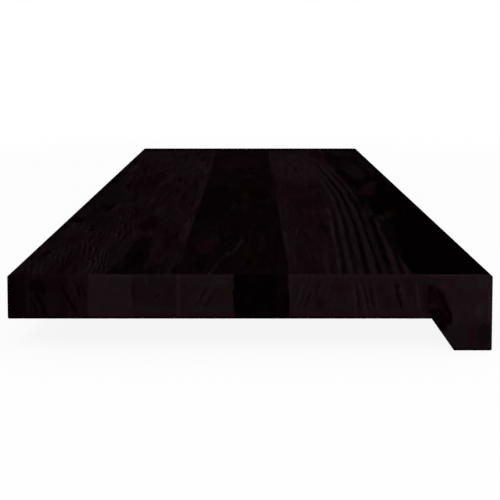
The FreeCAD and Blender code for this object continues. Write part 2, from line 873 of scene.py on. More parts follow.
@dataclass
class Section:
    """Section across a stave: its corners in turn, from the lower back one, and its eased arrises.

    Its lengths are in millimetres.
    """

    corners: list[Corner]
    arris: float = 1.0
    # Distance between points along the open sides, and along the glued ones
    pitch: float = 1.0
    glued_pitch: float = 4.0
    arc_steps: int = 5
    smallest_radius: float = 0.04

    def _corner_points(self, inset: float) -> list[Points]:
        """Find the sharp corners where neighbouring sides cross.

        Args:
            inset: how far the open sides have moved in.

        Returns:
            The place of each corner.
        """
        lines = []
        for here, there in zip(self.corners, self.corners[1:] + self.corners[:1]):
            start = np.array((here.x, here.z))
            run = np.array((there.x, there.z)) - start
            run /= np.linalg.norm(run)
            inwards = np.array((-run[1], run[0]))
            lines.append((start + inwards * (inset if here.next_side is Side.OPEN else 0.0), run))
        points = []
        for number, (start, run) in enumerate(lines):
            before, along = lines[number - 1]
            share = np.linalg.solve(np.column_stack((along, -run)), start - before)
            points.append(before + along * share[0])
        return points

    def _turn(self, number: int, points: list[Points], radius: float) -> Points:
        """Go round one corner.

        Args:
            number: the corner's number.
            points: the places of all the sharp corners.
            radius: radius of an eased arris.

        Returns:
            The points: the corner alone, or an arc where it is eased.
        """
        here = points[number]
        if not self.corners[number].eased:
            return here[None]
        back, ahead = points[number - 1] - here, points[(number + 1) % len(points)] - here
        back /= np.linalg.norm(back)
        ahead /= np.linalg.norm(ahead)
        half = math.acos(float(back @ ahead)) / 2
        middle = (back + ahead) / np.linalg.norm(back + ahead)
        centre = here + middle * (radius / math.sin(half))
        start = here + back * (radius / math.tan(half)) - centre
        angles = np.linspace(0.0, math.pi - 2 * half, self.arc_steps + 1)
        return centre + np.column_stack((
            start[0] * np.cos(angles) - start[1] * np.sin(angles),
            start[0] * np.sin(angles) + start[1] * np.cos(angles),
        ))

    def steps(self) -> list[int]:
        """Count the steps along each side.

        Returns:
            The counts, which are the same at every inset, so that every row has as many points.
        """
        points = self._corner_points(0.0)
        found = []
        for number, corner in enumerate(self.corners):
            length = np.linalg.norm(points[(number + 1) % len(points)] - points[number])
            pitch = self.pitch if corner.next_side is Side.OPEN else self.glued_pitch
            found.append(max(FEWEST_STEPS, round(float(length) / pitch)))
        return found

    def loop(self, inset: float) -> Points:
        """Go round the section, anticlockwise with the back edge on the left.

        Args:
            inset: how far the open sides have moved in, up to the arris radius.

        Returns:
            Places in millimetres, one row for each point, in x and z.
        """
        points = self._corner_points(inset)
        radius = max(self.arris - inset, self.smallest_radius)
        turns = [self._turn(number, points, radius) for number in range(len(points))]
        found = []
        for number, count in enumerate(self.steps()):
            start, end = turns[number][-1], turns[(number + 1) % len(turns)][0]
            inner = np.linspace(0.0, 1.0, count + 1)[1:-1, None]
            found += [turns[number], start + (end - start) * inner]
        return np.concatenate(found)

    def exposure(self) -> Points:
        """Tell the points that lie on open sides alone from the rest.

        Returns:
            1 for each such point of the loop, and 0 for each other one.
        """
        found = []
        for number, count in enumerate(self.steps()):
            corner, before = self.corners[number], self.corners[number - 1]
            free = corner.next_side is Side.OPEN
            at_corner = 1.0 if free and before.next_side is Side.OPEN else 0.0
            found += [at_corner] * (self.arc_steps + 1 if corner.eased else 1)
            found += [1.0 if free else 0.0] * (count - 1)
        return np.array(found)


@dataclass
class StaveShape:
    """Closed mesh of a stave: its section drawn along the tread, with eased ends.

    Its lengths are in millimetres.
    """

    section: Section
    near: float
    far: float
    row_pitch: float = 5.0
    ease_steps: int = 5
    # Distance between the points inside an end, and the share of it that they keep from the rim
    cap_pitch: float = 1.6
    cap_margin: float = 0.45
    # Distance up to which two of an end's points count as one
    merge_distance: float = 1e-7
    # Shares of the map's height: the skin round the section, and the two ends above it
    skin_top: float = 0.86
    cap_low: float = 0.88
    map_edge: float = 0.01
    # Width on the map of the glued sides, as a share of the open ones' scale
    glued_scale: float = 0.2

    def _rows(self) -> list[Pair]:
        """Place the rows of points along the tread.

        Returns:
            Each row's place along and its inset, from the near end.
        """
        radius = self.section.arris
        angles = [math.pi / 2 * step / self.ease_steps for step in range(self.ease_steps + 1)]
        eased = [(radius * (1 - math.cos(angle)), radius * (1 - math.sin(angle))) for angle in angles]
        count = max(FEWEST_STEPS, round((self.far - self.near - 2 * radius) / self.row_pitch))
        plain = np.linspace(self.near + radius, self.far - radius, count + 1)[1:-1]
        rows = [(self.near + along, inset) for along, inset in eased]
        rows += [(float(along), 0.0) for along in plain]
        return rows + [(self.far - along, inset) for along, inset in reversed(eased)]

    def _cap(self, loop: Points) -> tuple[Points, Points]:
        """Fill a section with triangles.

        Args:
            loop: the section's points, anticlockwise.

        Returns:
            The points, those of the loop first, and the triangles, anticlockwise.
        """
        low, high = loop.min(0), loop.max(0)
        counts = np.maximum(FEWEST_STEPS, np.round((high - low) / self.cap_pitch)).astype(int)
        axes = [np.linspace(low[i], high[i], counts[i] + 1)[1:-1] for i in (0, 1)]
        inner = np.stack(np.meshgrid(*axes, indexing="ij"), -1).reshape(-1, 2)
        inner = inner[self._well_inside(inner, loop, self.cap_pitch * self.cap_margin)]
        places = [Vector(point) for point in np.concatenate((loop, inner)).tolist()]
        edges = [(i, (i + 1) % len(loop)) for i in range(len(loop))]
        points, _, faces, origins, _, _ = delaunay_2d_cdt(places, edges, [], 1, self.merge_distance)
        order = {source: new for new, sources in enumerate(origins) for source in sources}
        keep = [order[i] for i in range(len(places))]
        back = {new: i for i, new in enumerate(keep)}
        triangles = np.array([[back[v] for v in face] for face in faces])
        return np.array([points[new][:] for new in keep]), triangles

    def _well_inside(self, points: Points, loop: Points, margin: float) -> Points:
        """Find the points that lie inside a loop and keep clear of it.

        Args:
            points: the points.
            loop: the loop's points.
            margin: how far off the loop a point has to be.

        Returns:
            True for each such point, and False for each other one.
        """
        start, run = loop, np.roll(loop, -1, 0) - loop
        off = points[:, None] - start[None]
        share = ((off * run).sum(-1) / (run * run).sum(-1)).clip(0, 1)
        clear = np.linalg.norm(off - share[..., None] * run, axis=-1).min(1) > margin
        rises = (start[:, 1] > points[:, None, 1]) != (np.roll(start, -1, 0)[:, 1] > points[:, None, 1])
        slope = np.where(run[:, 1] == 0, 1.0, run[:, 1])
        crossing = start[:, 0] + (points[:, None, 1] - start[:, 1]) * run[:, 0] / slope
        inside = ((points[:, None, 0] < crossing) & rises).sum(1) % 2 == 1
        return clear & inside

    def _cap_part(
        self, loop: Points, along: float, first: int, extra: int, turned: bool
    ) -> tuple[Points, Points]:
        """Close an end.

        Args:
            loop: the end's section.
            along: the end's place along the tread.
            first: number of the loop's first point in the mesh.
            extra: number that the first added point gets.
            turned: True at the far end, whose triangles face the other way.

        Returns:
            The points that it adds, and its triangles with their outer side out.
        """
        points, triangles = self._cap(loop)
        inner = points[len(loop):]
        added = np.column_stack((inner[:, 0], np.full(len(inner), along), inner[:, 1]))
        numbers = np.where(triangles < len(loop), triangles + first, triangles - len(loop) + extra)
        return added, numbers[:, ::-1] if turned else numbers

    def mesh(self, name: str) -> bpy.types.Mesh:
        """Build the mesh, in metres and in the model's own frame.

        Args:
            name: the mesh's name.

        Returns:
            The mesh, with its map and the share of each point that the brush reaches.
        """
        rows = self._rows()
        loops = [self.section.loop(inset) for _, inset in rows]
        width = len(loops[0])
        skin = np.concatenate([
            np.column_stack((loop[:, 0], np.full(width, along), loop[:, 1]))
            for (along, _), loop in zip(rows, loops)
        ])
        row, column = np.meshgrid(np.arange(len(rows) - 1), np.arange(width), indexing="ij")
        after = (column + 1) % width
        quads = np.stack((
            row * width + column, (row + 1) * width + column, (row + 1) * width + after, row * width + after
        ), -1).reshape(-1, 4)
        near_points, near_faces = self._cap_part(loops[0], self.near, 0, len(skin), False)
        last_row, last_point = (len(rows) - 1) * width, len(skin) + len(near_points)
        far_points, far_faces = self._cap_part(loops[-1], self.far, last_row, last_point, True)
        vertices = np.concatenate((skin, near_points, far_points))
        made = bpy.data.meshes.new(name)
        faces = quads.tolist() + near_faces.tolist() + far_faces.tolist()
        made.from_pydata((vertices * MM).tolist(), [], faces)
        self._set_map(made, vertices, quads, column.reshape(-1))
        on_caps = np.ones(len(near_points) + len(far_points))
        reach = np.concatenate((np.tile(self.section.exposure(), len(rows)), on_caps))
        made.attributes.new(REACH, "FLOAT", "POINT").data.foreach_set("value", reach.astype(np.float32))
        made.polygons.foreach_set("use_smooth", np.ones(len(made.polygons), bool))
        return made

    def _set_map(self, mesh: bpy.types.Mesh, vertices: Points, quads: Points, columns: Points) -> None:
        """Lay the skin out as one strip along the map, with both ends above it.

        Args:
            mesh: mesh that gets the map.
            vertices: its points, in millimetres.
            quads: the faces of the skin, which come first in the mesh.
            columns: for each of them, its column round the section.
        """
        edge, length = self.map_edge, self.far - self.near
        full = self.section.loop(0.0)
        steps = np.linalg.norm(np.roll(full, -1, 0) - full, axis=1)
        reach = self.section.exposure()
        steps = steps * np.where(np.minimum(reach, np.roll(reach, -1)) + reach > 0, 1.0, self.glued_scale)
        down = edge + np.concatenate(([0.0], np.cumsum(steps))) / steps.sum() * (self.skin_top - edge)
        u = edge + (vertices[:, 1] - self.near) / length * (1 - 2 * edge)
        v_low, v_high = down[columns], down[columns + 1]
        skin = np.stack((u[quads], np.stack((v_low, v_low, v_high, v_high), 1)), -1)
        corners = np.empty(len(mesh.loops), np.int32)
        mesh.loops.foreach_get("vertex_index", corners)
        at = vertices[corners[quads.size:]]
        cap = self.section.loop(self.section.arris)
        share = (at[:, [0, 2]] - cap.min(0)) / np.ptp(cap, axis=0)
        far = at[:, 1] > (self.near + self.far) / 2
        cap_u = np.where(far, 0.5 + edge, edge) + share[:, 0] * (0.5 - 2 * edge)
        cap_v = self.cap_low + share[:, 1] * (1 - edge - self.cap_low)
        places = np.concatenate((skin.reshape(-1, 2), np.column_stack((cap_u, cap_v))))
        layer = mesh.uv_layers.new(name="OFBake", do_init=False)
        layer.uv.foreach_set("vector", places.astype(np.float32).ravel())


@dataclass
class BrushedRelief:
    """Raises the hard lines of a stave and lowers its pores, as a brush leaves them."""

    figure: Figure
    # Height of the relief in millimetres, and the angle in degrees from which an edge stays sharp
    depth: float = 0.05
    sharp_from: float = 50.0

    def tree(self, name: str) -> bpy.types.NodeTree:
        """Build the tree of nodes that moves the surface.

        Args:
            name: the tree's name.

        Returns:
            The tree, with its inputs for the depth and the finish.
        """
        made = bpy.data.node_groups.new(name, "GeometryNodeTree")
        made.is_modifier = True
        made.interface.new_socket("Geometry", in_out="OUTPUT", socket_type="NodeSocketGeometry")
        for label, kind in (("Geometry", "Geometry"), ("Relief Depth", "Float"), ("Finish", "Material")):
            made.interface.new_socket(label, in_out="INPUT", socket_type=f"NodeSocket{kind}")
        graph = Graph(made)
        given = graph.node("NodeGroupInput").outputs
        wood = WoodField(graph, self.figure, graph.node("GeometryNodeInputPosition").outputs[0])
        reach = graph.node("GeometryNodeInputNamedAttribute", {"data_type": "FLOAT"}, {"Name": REACH})
        lift = wood.height() * Expr(graph, reach.outputs[0]) * Expr(graph, given["Relief Depth"])
        normal = graph.node("GeometryNodeInputNormal").outputs[0]
        scaled = graph.node("ShaderNodeVectorMath", {"operation": "SCALE"}, {0: normal, "Scale": lift})
        shape = {"Geometry": given["Geometry"], "Offset": scaled.outputs[0]}
        moved = graph.node("GeometryNodeSetPosition", None, shape)
        real = graph.node("GeometryNodeRealizeInstances", None, {"Geometry": moved.outputs[0]})
        dress = {"Geometry": real.outputs[0], "Material": given["Finish"]}
        dressed = graph.node("GeometryNodeSetMaterial", None, dress)
        graph.node("NodeGroupOutput", None, {"Geometry": dressed.outputs[0]})
        return made

    def apply(self, piece: bpy.types.Object, finish: bpy.types.Material) -> None:
        """Run the tree on a piece and keep the result as its plain mesh.

        Args:
            piece: the piece, whose mesh has the reach of the brush.
            finish: the material that the result wears.
        """
        modifier = piece.modifiers.new("relief", "NODES")
        modifier.node_group = self.tree(f"{piece.name}_relief")
        values = {"Relief Depth": self.depth * MM, "Finish": finish}
        for item in modifier.node_group.interface.items_tree:
            if item.name in values:
                modifier[item.identifier] = values[item.name]
        graph = bpy.context.evaluated_depsgraph_get()
        result = bpy.data.meshes.new_from_object(piece.evaluated_get(graph), depsgraph=graph)
        piece.modifiers.remove(modifier)
        plain = piece.data
        piece.data = result
        result.name = piece.name
        bpy.data.meshes.remove(plain)
        result.attributes.remove(result.attributes[REACH])
        result.set_sharp_from_angle(angle=math.radians(self.sharp_from))


@dataclass
class Stave:
    """One stave of the tread: its node in the model, its section and its wood."""

    node: str
    section: Section
    figure: Figure

    def build(self) -> bpy.types.Object:
        """Make the stave, dress it and put it in the place of its node.

        Returns:
            The finished piece.
        """
        low, high = in_mm(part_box(self.node))
        name = f"{self.node}_wood"
        piece = placed(name, StaveShape(self.section, low.y, high.y).mesh(name))
        finish = StainedWood(self.figure).material(f"{self.node}_stain")
        BrushedRelief(self.figure).apply(piece, finish)
        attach(piece, "root")
        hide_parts(self.node)
        return piece


@dataclass
class Tread:
    """The whole tread: staves glued edge to edge, the front one with the nosing."""

    arris: float = 1.0

    def _board_section(self, node: str, at_back: bool) -> Section:
        """Give the section of a flat stave.

        Args:
            node: the stave's node.
            at_back: whether it lies at the back edge, where it is eased.

        Returns:
            The section.
        """
        low, high = in_mm(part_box(node))
        left = Side.OPEN if at_back else Side.GLUED
        return Section([
            Corner(low.x, low.z, Side.OPEN, at_back),
            Corner(high.x, low.z, Side.GLUED),
            Corner(high.x, high.z, Side.OPEN),
            Corner(low.x, high.z, left, at_back),
        ], self.arris)

    def _nosing_section(self, node: str, board: float) -> Section:
        """Give the section of the front stave, with the nosing and its sloping inner face.

        Args:
            node: the stave's node.
            board: height of the board's underside, in millimetres.

        Returns:
            The section.
        """
        low, high = in_mm(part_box(node))
        mounts = {mount["name"]: mount for mount in frame["record"]["mounts"]}
        slope = mounts["nosing_inner_slope"]
        at, axis = Vector(slope["pos_m"]) / MM, Vector(slope["axis"])
        lean = -axis.z / axis.x
        return Section([
            Corner(low.x, board, Side.OPEN),
            Corner(at.x + (board - at.z) * lean, board, Side.OPEN),
            Corner(at.x - at.z * lean, low.z, Side.OPEN, True),
            Corner(high.x, low.z, Side.OPEN, True),
            Corner(high.x, high.z, Side.OPEN, True),
            Corner(low.x, high.z, Side.GLUED),
        ], self.arris)

    def build(self) -> list[bpy.types.Object]:
        """Make every stave.

        Returns:
            The pieces, from the back edge to the front.
        """
        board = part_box("back_stave")[0].z / MM
        staves = (
            Stave("back_stave", self._board_section("back_stave", True), BACK_FIGURE),
            Stave("second_stave", self._board_section("second_stave", False), SECOND_FIGURE),
            Stave("third_stave", self._board_section("third_stave", False), THIRD_FIGURE),
            Stave("nosing_stave", self._nosing_section("nosing_stave", board), NOSING_FIGURE),
        )
        return [stave.build() for stave in staves]


# Path of the growth lines that the third stave and the nosing share
LINE_PATH = (223.1, 46.7, 71.3, -321.3, 196.6)

# Widest stave: mottled, with fine leaning lines at the near end and a dark wedge beside them
BACK_FIGURE = Figure(
    near_tone=15.7, far_tone=18.2, end_tone=19.8, warp=2.2, warp_across=18.0, warp_along=80.0,
    ragged=2.2, fibre=0.14, streak=0.21, mottle=0.25, ring=0.04, ring_pitch=4.2, curl=4.0, wine=0.7,
    end_wine=0.3, seed=3.1,
    marks=several(
        Mark,
        (16, 355, 20, 115, 11.4, ASH, 0, 0.9), (30, 225, 14, 50, 13.2, DUSTY, 0, 0.7),
        (9, 122, 11, 36, 13.2, DUSTY, -0.05, 0.7), (14, 250, 5, 28, 12.6, WINE),
        (5, 520, 8, 120, 9.5, ASH, 0, 0.9), (40, 490, 20, 95, 13.2, WINE, 0, 0.9),
        (38, 735, 26, 50, 20, EVEN, 0, 0.7), (39, 640, 24, 95, 18.4, WINE, 0, 0.7),
        (52, 553, 6.5, 54, 13.5, WINE, -0.05, 0.9), (26, 630, 5, 84, 13.5, WINE, -0.1, 0.9),
        (38, 822, 44, 40, 18, GREY, 0, 0.5, 0.9), (80, 815, 12, 34, 14.8, GREY),
        (76, 360, 19, 90, 17.4, WINE, 0, 0.6), (72, 415, 15, 34, 15.2, WINE, 0, 0.9),
        (81, 265, 8.5, 34, 15, GREY), (82, 625, 20, 100, 19.8, EVEN, 0, 0.7), (70, 610, 6.5, 80, 17.8, GREY),
        (82, 480, 8, 60, 18.2), (94, 120, 9, 55, 14.4, WINE), (10, 32, 7, 24, 17.4, GREY),
        (2.5, 225, 4, 34, 6.5, ASH, 0, 0.9), (8.5, 226, 6.5, 17, 2, GREY, 0, 0.6),
        (3.5, 184, 5.5, 22, 4.8, GREY, 0, 0.9), (1.5, 90, 3, 10, 5.5), (1.5, 135, 2.6, 12, 5.5, GREY),
        (2, 275, 3, 12, 5.5, GREY), (1.5, 352, 3.4, 15, 5, GREY), (2.5, 405, 3, 16, 5, GREY),
        (2, 57, 3.4, 7, 6), (10.5, 77, 4, 11, 8, WINE, 0, 0.9), (20, 232, 2.6, 26, 12, WINE, 0, 0.9),
        (26.5, 187, 3.6, 24, 8, WINE, -0.1, 0.9), (22, 308, 9, 16, 8.6, ASH, 0, 0.9),
        (26, 296, 4.4, 28, 6.6, WINE), (3, 318, 4, 14, 5, CLARET), (41, 365, 4.2, 52, 10.4, WINE, -0.06, 0.9),
        (50, 292, 1.8, 50, 9.6, WINE, -0.04), (88, 375, 3, 36, 10, WINE, -0.06, 0.9),
        (97.6, 315, 1.5, 20, 8.5, WINE), (98, 223, 2.6, 14, 9.5, WINE, 0, 0.9),
        (69, 203, 9.8, 45, 9.2, CLARET, 0, 0.7, 0.75), (69.5, 238, 5.5, 28, 10.6),
        (87, 165, 2.2, 17, 8, WINE), (96, 150, 1.4, 24, 8.5, WINE, -0.03), (50, 480, 2.6, 22, 9.5, WINE),
        (27, 450, 3.4, 40, 9, WINE, -0.1, 0.9), (6, 495, 4.5, 20, 4.5), (5, 715, 5, 34, 4.5),
        (94, 470, 3.8, 54, 10.5, WINE, -0.03, 0.9), (74.5, 512, 4, 15, 12, WINE),
        (90, 755, 3.8, 42, 12, WINE), (63, 160, 2.6, 32, 20.5), (34, 288, 1.5, 28, 21, PLAIN, -0.17, 0.7),
        (36.3, 284, 1.2, 26, 10, WINE, -0.17), (41.3, 244, 1.3, 24, 21, PLAIN, -0.12, 0.7),
        (43.2, 242, 1, 22, 10, WINE, -0.12), (53.5, 222, 1.5, 28, 20.5, PLAIN, -0.08),
        (59, 330, 3.4, 46, 19, GREY), (92, 265, 2.4, 46, 21, PLAIN, -0.2, 0.7),
        (61.8, 505, 4.8, 66, 20, PLAIN, 0.06, 0.7), (62, 578, 2.2, 36, 20.5, PLAIN, -0.16),
        (73, 668, 3.8, 38, 20.5, GREY), (92.5, 665, 5.6, 54, 24.5, PLAIN, 0, 0.7),
        (29.5, 150, 1.1, 9, 22.5, PLAIN, 0, 0.7), (31.5, 137, 1.1, 11, 9, PLAIN, 0, 0.7),
        (36, 134, 1.4, 7, 23.5, PLAIN, 0, 0.7), (33.8, 134, 1, 8, 9, PLAIN, 0, 0.7),
        (40, 135, 1, 17, 9.5, PLAIN, -0.03, 0.7), (44.5, 158, 1.1, 11, 22, PLAIN, 0, 0.7),
        (48.2, 152, 1, 15, 22, PLAIN, 0, 0.7), (52, 133, 1.1, 10, 21.5, PLAIN, 0, 0.7),
        (56, 146, 1, 8, 10, PLAIN, 0, 0.7), (59.3, 136, 1.2, 9, 21.5, PLAIN, 0, 0.7),
        (82.6, 104, 3.8, 48, 15.4, GREY, 0, 0.7, 0.8), (93, 16, 4.5, 30, 11.2, GREY),
        (87.5, 14, 4.2, 32, 7.8, PLAIN, 0, 0.6), (68.5, 0, 9, 60, 6, PLAIN, 0, 0.45),
        (73.5, 60, 8.5, 102, 6, PLAIN, -0.03, 0.4), (79, 0, 7, 34, 6.8, PLAIN, 0, 0.5),
        (74.5, 124, 3.4, 28, 7.4, WINE, 0, 0.9), (67, 38, 3.6, 28, 8.6, GREY, 0, 0.9),
        (75.5, 60, 3.2, 46, 3, ASH, -0.09, 0.9), (96.5, 56, 3.8, 26, 13.6, GREY, -0.08),
        (101, 26, 1.2, 24, 15.5, PLAIN, -0.05), (101.8, 490, 3.2, 420, 21.2, PLAIN, 0, 0.5, 0.9),
        (100.6, 180, 3.8, 66, 22.5, PLAIN, 0, 0.6), (100, 600, 3.2, 50, 23.5), (103, 12, 2.4, 36, 8.5, WINE),
        (98.6, 20, 1.2, 26, 15.5, GREY, -0.06),
    ),
    ripples=several(
        Ripple,
        (50, 50, 8.5, 62, 2.6, 6.4, -0.08, 1.2), (22, 72, 8.5, 56, 3.3, 4.4, -0.12),
        (37, 88, 9.5, 52, 4.4, 5.8, -0.16), (12, 30, 9, 32, 3.7, 3, -0.14),
        (46, 152, 16, 34, 3.8, 5.4, -0.04), (50, 235, 13, 70, 4.1, 4, -0.1),
        (26, 560, 27, 190, 9, 2.2, -0.05, 2), (70, 420, 28, 150, 7.5, 1.6, 0.04, 2),
    ),
    end_marks=several(
        Mark,
        (42.9, 14, 7.4, 60, 17.2, PLAIN, 0, 0.35), (18, 14, 20, 60, 12.6, PLAIN, 0, 0.15),
        (27, 18, 5, 11, 15.2, PLAIN, 0, 0.9), (5.5, 14, 6.4, 60, 9.4, WINE, 0, 0.3),
        (2.8, 14, 2.8, 60, 5.6, CLARET, 0, 0.7, 0.5), (13.2, 17, 1.5, 10, 14.6, GREY),
        (18, 1.5, 6.5, 2.6, 13.5), (18.6, 5.8, 5.6, 4.2, 6.2, PLAIN, 0, 0.7),
        (22.5, 8.5, 3, 5, 7.4, WINE, 0, 0.9), (20.8, 17, 2.1, 13, 6.4, CLARET, 0.46, 0.7),
        (16.5, 18.5, 1.1, 8, 7, WINE, 0.36), (18.6, 19.5, 0.9, 7, 15.5, PLAIN, 0.4, 0.9),
        (32.6, 5, 1, 5, 18, PLAIN, 0.34, 0.9), (36.4, 12, 1.5, 12.5, 8.4, CLARET, 0.5),
        (40.6, 6.5, 1, 7, 20, PLAIN, 0.3, 0.9), (42.2, 19, 1.1, 7, 8.5, WINE, 0.2, 0.9),
        (44.2, 9, 1.2, 6.5, 10, CLARET, 0.25, 0.9), (47, 9, 1, 6, 10.5, WINE, 0.2, 0.9),
        (63.8, 14, 14.2, 60, 24.2, PLAIN, 0, 0.08), (71, 4.5, 7, 6, 22, GREY, 0, 0.9),
        (60, 20.6, 13, 2.2, 22.6, GREY, 0, 0.6), (90, 3, 14, 4.8, 18.4, GREY, 0, 0.8, 0.8),
        (91, 12.6, 12, 5.4, 20.4, WINE, 0, 0.8, 0.5), (78.2, 11, 1.4, 7.5, 17, WINE, 0.12),
        (92.5, 12.6, 1.9, 1.6, 14.5, WINE, 0, 0.9), (86, 4.5, 0.9, 4, 23.5, PLAIN, 0.2, 0.9),
        (90, 20.8, 14, 2.4, 20.8, GREY, 0, 0.6),
    ),
)

# Dark stave with small curls, a light streak and two rust-brown flecks
SECOND_FIGURE = Figure(
    near_tone=8.8, far_tone=10.6, end_tone=21.4, warp=2.4, warp_across=14.0, warp_along=70.0, ragged=1.5,
    fibre=0.12, streak=0.2, mottle=0.32, ring=0.03, curl=3.6, wine=0.9, seed=11.7,
    marks=several(
        Mark,
        (140, 275, 36, 150, 7.4, WINE, 0, 0.7, 0.7), (122, 335, 21, 140, 5.8, WINE, 0, 0.7),
        (134, 115, 9, 66, 7.6, GREY, 0, 0.7), (136, 705, 30, 90, 13.6, WINE, 0, 0.6),
        (126, 655, 11, 40, 15.6, WINE, 0, 0.9), (138, 825, 36, 40, 11.4, EVEN, 0, 0.6),
        (155, 410, 16, 60, 6.6, CLARET, 0, 0.8, 0.8), (161, 385, 10, 38, 5.4, CLARET, 0, 0.7),
        (106.5, 130, 2.6, 42, 8.4, CLARET), (106.5, 240, 4.5, 30, 3.6), (105.5, 720, 3.4, 70, 9.2, CLARET),
        (168, 640, 4.4, 120, 9.2, CLARET), (171, 120, 5.2, 70, 7, CLARET, 0, 0.7),
        (172, 285, 4, 60, 8.6, CLARET), (118, 104, 8.6, 34, 14.6, WINE, 0, 0.7),
        (122.5, 140, 5, 30, 12.8, GREY, 0, 0.9), (126, 132, 1.6, 20, 15.5, GREY, 0, 0.9),
        (139.5, 150, 1.8, 26, 4.6, WINE), (117, 36, 7, 22, 5.4, GREY), (149, 515, 8, 20, 6, CLARET, 0, 0.7),
        (121, 442, 6.5, 20, 2.8), (123.5, 378, 2.4, 12, 3.2), (119.5, 530, 4, 38, 12.8, WINE),
        (142, 608, 7, 40, 8.6, CLARET, -0.1), (145.5, 612, 2.4, 18, 16.5, GREY, -0.12),
        (151.5, 628, 4.4, 16, 5.6, CLARET), (155.5, 580, 7, 36, 8.2, GREY, 0, 0.7),
        (152, 600, 2.2, 9, 10.5, ASH), (148, 545, 9, 14, 12.8, GREY), (134, 575, 4, 14, 11.5, GREY),
        (145.5, 440, 7.6, 44, 9, RUST), (140, 390, 3.6, 60, 7.4, RUST),
        (145.8, 382, 4.4, 46, 14, RUST, 0, 0.9, 0.8), (145.8, 380, 2.4, 36, 14.5, PLAIN, 0, 0.9, 0.8),
        (151.5, 58, 5, 48, 9, RUST, -0.04), (150, 76, 2.8, 20, 11.5, RUST, 0, 0.9),
        (151, 42, 3, 22, 6.6, RUST), (130.5, 257, 2, 20, 11.5, ASH, -0.06),
        (134.5, 300, 2.6, 44, 10.6, ASH, 0.04, 0.9), (139, 302, 1.1, 26, 12.5, ASH),
        (145.5, 300, 3.2, 52, 11.8, WINE), (163.5, 340, 7, 8, 13, GREY, 0.3),
        (160, 275, 4, 32, 11, WINE, 0, 0.9), (158, 186, 6.4, 24, 5.8, PLAIN, 0, 0.7),
        (152.8, 200, 1.4, 12, 11.5, ASH), (121, 186, 3.4, 11, 13.5, GREY), (122, 182, 1.4, 6, 9),
        (158.8, 122, 2.6, 50, 13, GREY, 0.03), (169.5, 60, 0.9, 14, 11, GREY), (131.5, 153, 1, 12, 12, ASH),
        (112, 57, 0.9, 14, 11.5, PLAIN, -0.1), (148.5, 16, 1, 17, 12, ASH, 0.13),
        (145, 42, 0.9, 16, 11.5, PLAIN, 0.08), (125.2, 12, 1.3, 20, 17.5, PLAIN, 0.1, 0.7),
        (128.6, 40, 1.2, 20, 17, PLAIN, 0.13, 0.7), (131.6, 60, 1.4, 12, 15.5, PLAIN, 0.14, 0.7),
        (135.6, 76, 2.7, 10, 15.8, GREY, 0.1, 0.7), (139.6, 92, 2.3, 13, 17, GREY, 0.1, 0.7),
        (142.4, 114, 2.4, 18, 20, GREY, 0.07, 0.7), (143.6, 136, 1.2, 14, 15),
    ),
    end_marks=several(
        Mark,
        (124, 4, 18, 3.6, 21.4, GREY), (130, 14, 9, 7, 22, WINE, 0, 0.9, 0.5),
        (124, 20.6, 17, 2.2, 21.6, GREY, 0, 0.6), (153, 13, 13.4, 60, 4.2, ASH, 0, 0.08),
        (144.5, 7, 3.5, 4, 4.2, ASH, 0, 0.9), (158.5, 23, 4.6, 5, 6.4, ASH, 0, 0.9),
        (149, 15, 4, 5, 5.8, ASH, 0, 0.9), (158, 10, 4, 5, 2.8, ASH, 0, 0.9),
        (152, 4, 5, 3, 5.6, ASH, 0, 0.9), (163, 16, 2.2, 14, 4.6, CLARET),
        (169.6, 13, 4.6, 60, 6.6, WINE, 0, 0.5), (172.8, 20, 2.2, 12, 5.4, CLARET),
        (167.8, 10, 1.1, 6, 10.5, GREY, 0, 0.9), (105.6, 13, 1.3, 60, 25.5, PLAIN, 0, 0.7),
        (110.2, 7, 1.3, 2, 17, PLAIN, 0, 0.9), (118.2, 13, 1.1, 7, 26, PLAIN, -0.66, 0.9),
        (120.6, 12, 1.2, 6.5, 15, PLAIN, -0.7, 0.9), (122.8, 13, 1, 6.5, 25.5, PLAIN, -0.66, 0.9),
        (124.6, 15.5, 1.2, 6, 15.5, PLAIN, -0.7, 0.9), (131, 4.2, 8, 1.6, 25.5, PLAIN, -0.6, 0.9),
        (134.5, 11, 4.6, 4, 20.6, RUST, 0, 0.9, 0.5),
    ),
)

